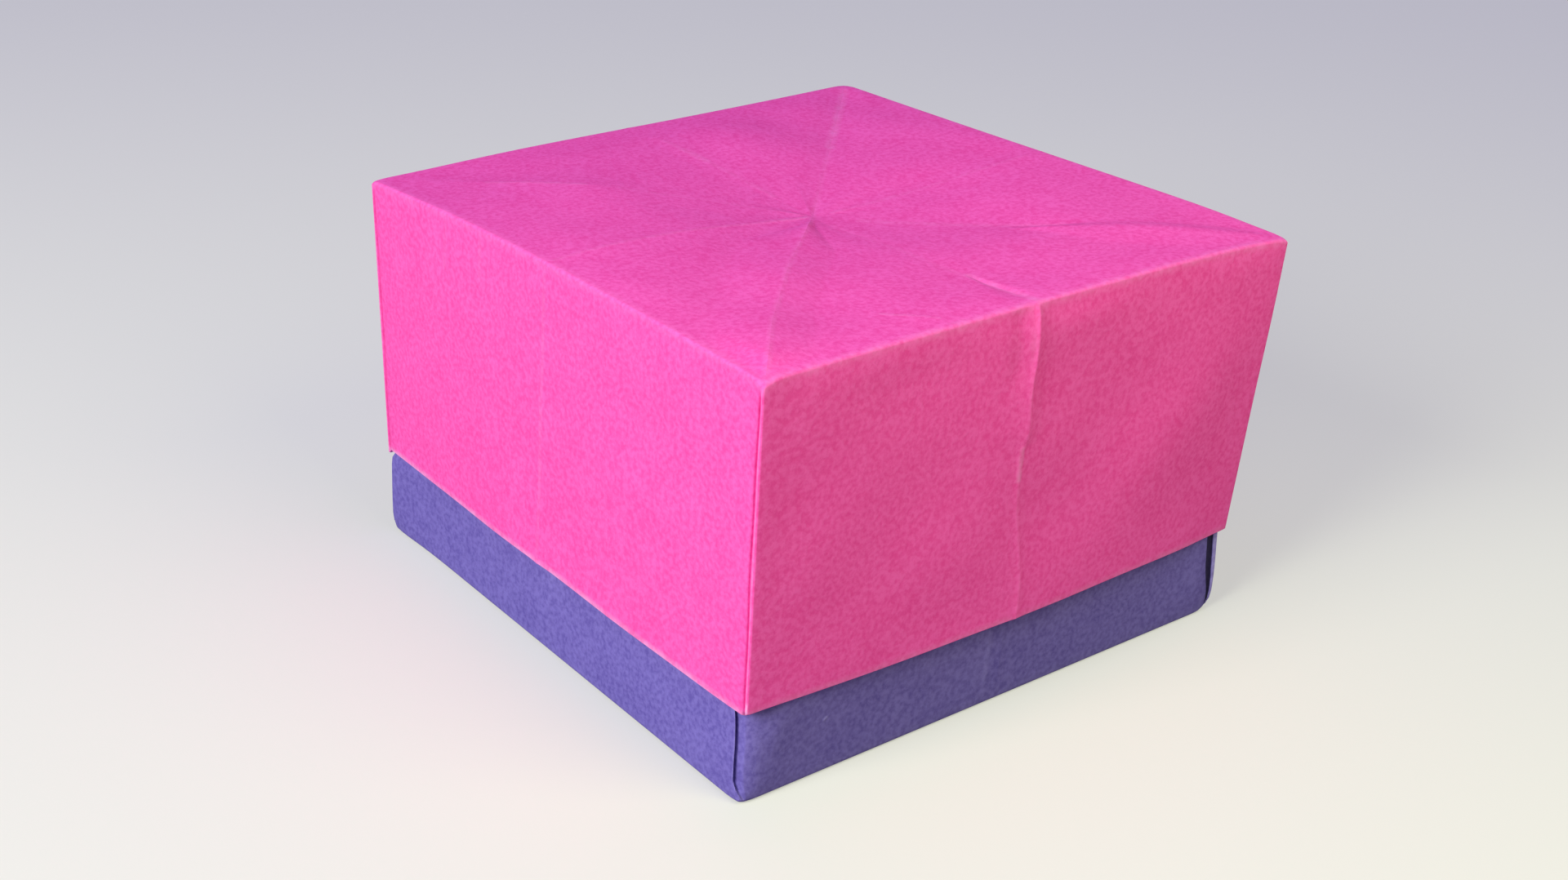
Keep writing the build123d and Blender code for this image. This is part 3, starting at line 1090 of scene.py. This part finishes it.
def studio():
    """Pale floor and backdrop, blue light from above, and two lamps."""
    floor_mesh = bpy.data.meshes.new("studio_floor")
    corners = [(x * FLOOR_REACH, y * FLOOR_REACH, 0) for x, y in ((-1, -1), (1, -1), (1, 1), (-1, 1))]
    floor_mesh.from_pydata(corners, [], [(0, 1, 2, 3)])
    floor = bpy.data.objects.new("studio_floor", floor_mesh)
    bpy.context.scene.collection.objects.link(floor)
    surface = bpy.data.materials.new("floor_paint")
    surface.use_nodes = True
    tree = surface.node_tree
    shader = tree.nodes["Principled BSDF"]
    seen = seen_directly(tree)
    feed(tree, mix_colour(tree, seen, FLOOR_BOUNCE, FLOOR_SEEN), shader.inputs["Base Color"])
    glow = node(tree, "ShaderNodeEmission")
    glow.inputs["Color"].default_value = FLOOR_PALE
    paler = node(tree, "ShaderNodeMixShader")
    feed(tree, math_node(tree, "MULTIPLY", seen, FLOOR_GLOW), paler.inputs["Fac"])
    feed(tree, shader.outputs["BSDF"], paler.inputs[1])
    feed(tree, glow.outputs["Emission"], paler.inputs[2])
    feed(tree, paler.outputs["Shader"], tree.nodes["Material Output"].inputs["Surface"])
    shader.inputs["Roughness"].default_value = 0.9
    shader.inputs["Specular IOR Level"].default_value = 0.1
    floor_mesh.materials.append(surface)

    world = bpy.context.scene.world or bpy.data.worlds.new("studio_world")
    bpy.context.scene.world = world
    world.use_nodes = True
    tree = world.node_tree
    background = tree.nodes["Background"]
    split = node(tree, "ShaderNodeSeparateXYZ")
    feed(tree, node(tree, "ShaderNodeTexCoord").outputs["Generated"], split.inputs["Vector"])
    sky = mix_colour(tree, remap(tree, split.outputs["Z"], 0.6, 0.95), SKY_SIDES, SKY_TOP)
    backdrop = mix_colour(tree, seen_directly(tree), sky, BACKDROP)
    feed(tree, backdrop, background.inputs["Color"])
    background.inputs["Strength"].default_value = SKY_STRENGTH
    area_lamp("key_lamp", (-0.874, -0.123, 0.469), 0.55, 0.26, KEY_POWER, (0.948, 1.0, 0.77))
    area_lamp("fill_lamp", (0.1, -0.77, 0.68), 0.24, 0.18, FILL_POWER, (0.95, 1.0, 0.42))


def photo_camera():
    """Camera found from the photograph's edges: place, direction, roll, lens and shift."""
    data = bpy.data.cameras.new("photo_camera")
    data.sensor_fit = "HORIZONTAL"
    data.sensor_width = 36.0
    data.lens = 43.28
    data.shift_x = 0.1042
    data.shift_y = 0.0422
    data.clip_start = 0.005
    camera = bpy.data.objects.new("photo_camera", data)
    heading, tilt, roll = map(math.radians, (35.494, 27.648, 0.648))
    ahead = math.cos(tilt)
    forward = Vector((ahead * math.sin(heading), ahead * math.cos(heading), -math.sin(tilt)))
    level = forward.cross(Vector((0, 0, 1))).normalized()
    up = level.cross(forward)
    right = level * math.cos(roll) + up * math.sin(roll)
    top = up * math.cos(roll) - level * math.sin(roll)
    matrix = Matrix((right, top, -forward)).transposed().to_4x4()
    matrix.translation = Vector((-0.13893, -0.15748, 0.11807))
    camera.matrix_world = matrix
    bpy.context.scene.collection.objects.link(camera)
    bpy.context.scene.camera = camera


def place_lid(local):
    """Turns the box over, with its end walls across the model's x."""
    return np.column_stack([-local[:, 1], -local[:, 0], LID_TOP - local[:, 2]])


def place_base(local):
    """Leaves the box where it was laid out."""
    return local.copy()


def dress():
    """Makes both sheets and gives them their paper."""
    form = (LID_HALF_Y, LID_HALF_X, LID_HEIGHT, LID_HEIGHT - LID_END_RISE, LID_FOLD)
    quarter, zones = masu_rings(*form, high_pads=False)
    # The lid's hem on its lit front left wall (local +y) is made paler than the others, rubbed and a painted
    # highlight
    wear_and_painted_light = wear_and_painted_light_of(*form, front_fold=0.3, rim_wear_and_highlight=(0.5, 0.5, 1.3, 0.6))
    lid = folded_sheet("lid_sheet", quarter, zones, place_lid, bend_lid, wear_and_painted_light)
    pink = paper_material(
        "lid_paper", linear(253, 99, 202), linear(242, 73, 176), linear(249, 163, 238), 0.75, LID_CREASES
    )
    lid.data.materials.append(pink)
    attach(lid, "lid")
    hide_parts("lid")

    form = (BASE_HALF_X, BASE_HALF_Y, BASE_HEIGHT, BASE_HEIGHT - BASE_END_DROP, BASE_FOLD)
    quarter, zones = masu_rings(*form, high_pads=True)
    # The base's right corner gets a painted highlight on its strip and painted shade in the seam beside it
    wear_and_painted_light = wear_and_painted_light_of(*form, front_fold=0.15, rim_wear_and_highlight=(0.6, 0.6, 0.6, 0.6), corner_highlight_and_seam_shade=1.7)
    base = folded_sheet("base_sheet", quarter, zones, place_base, bend_base, wear_and_painted_light)
    violet = paper_material(
        "base_paper", linear(124, 110, 202), linear(98, 84, 176), linear(166, 153, 244), 0.5, BASE_CREASES
    )
    base.data.materials.append(violet)
    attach(base, "base")
    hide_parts("base")


dress()
studio()
photo_camera()
bpy.context.scene.view_settings.view_transform = "Standard"

bpy.context.view_layer.update()
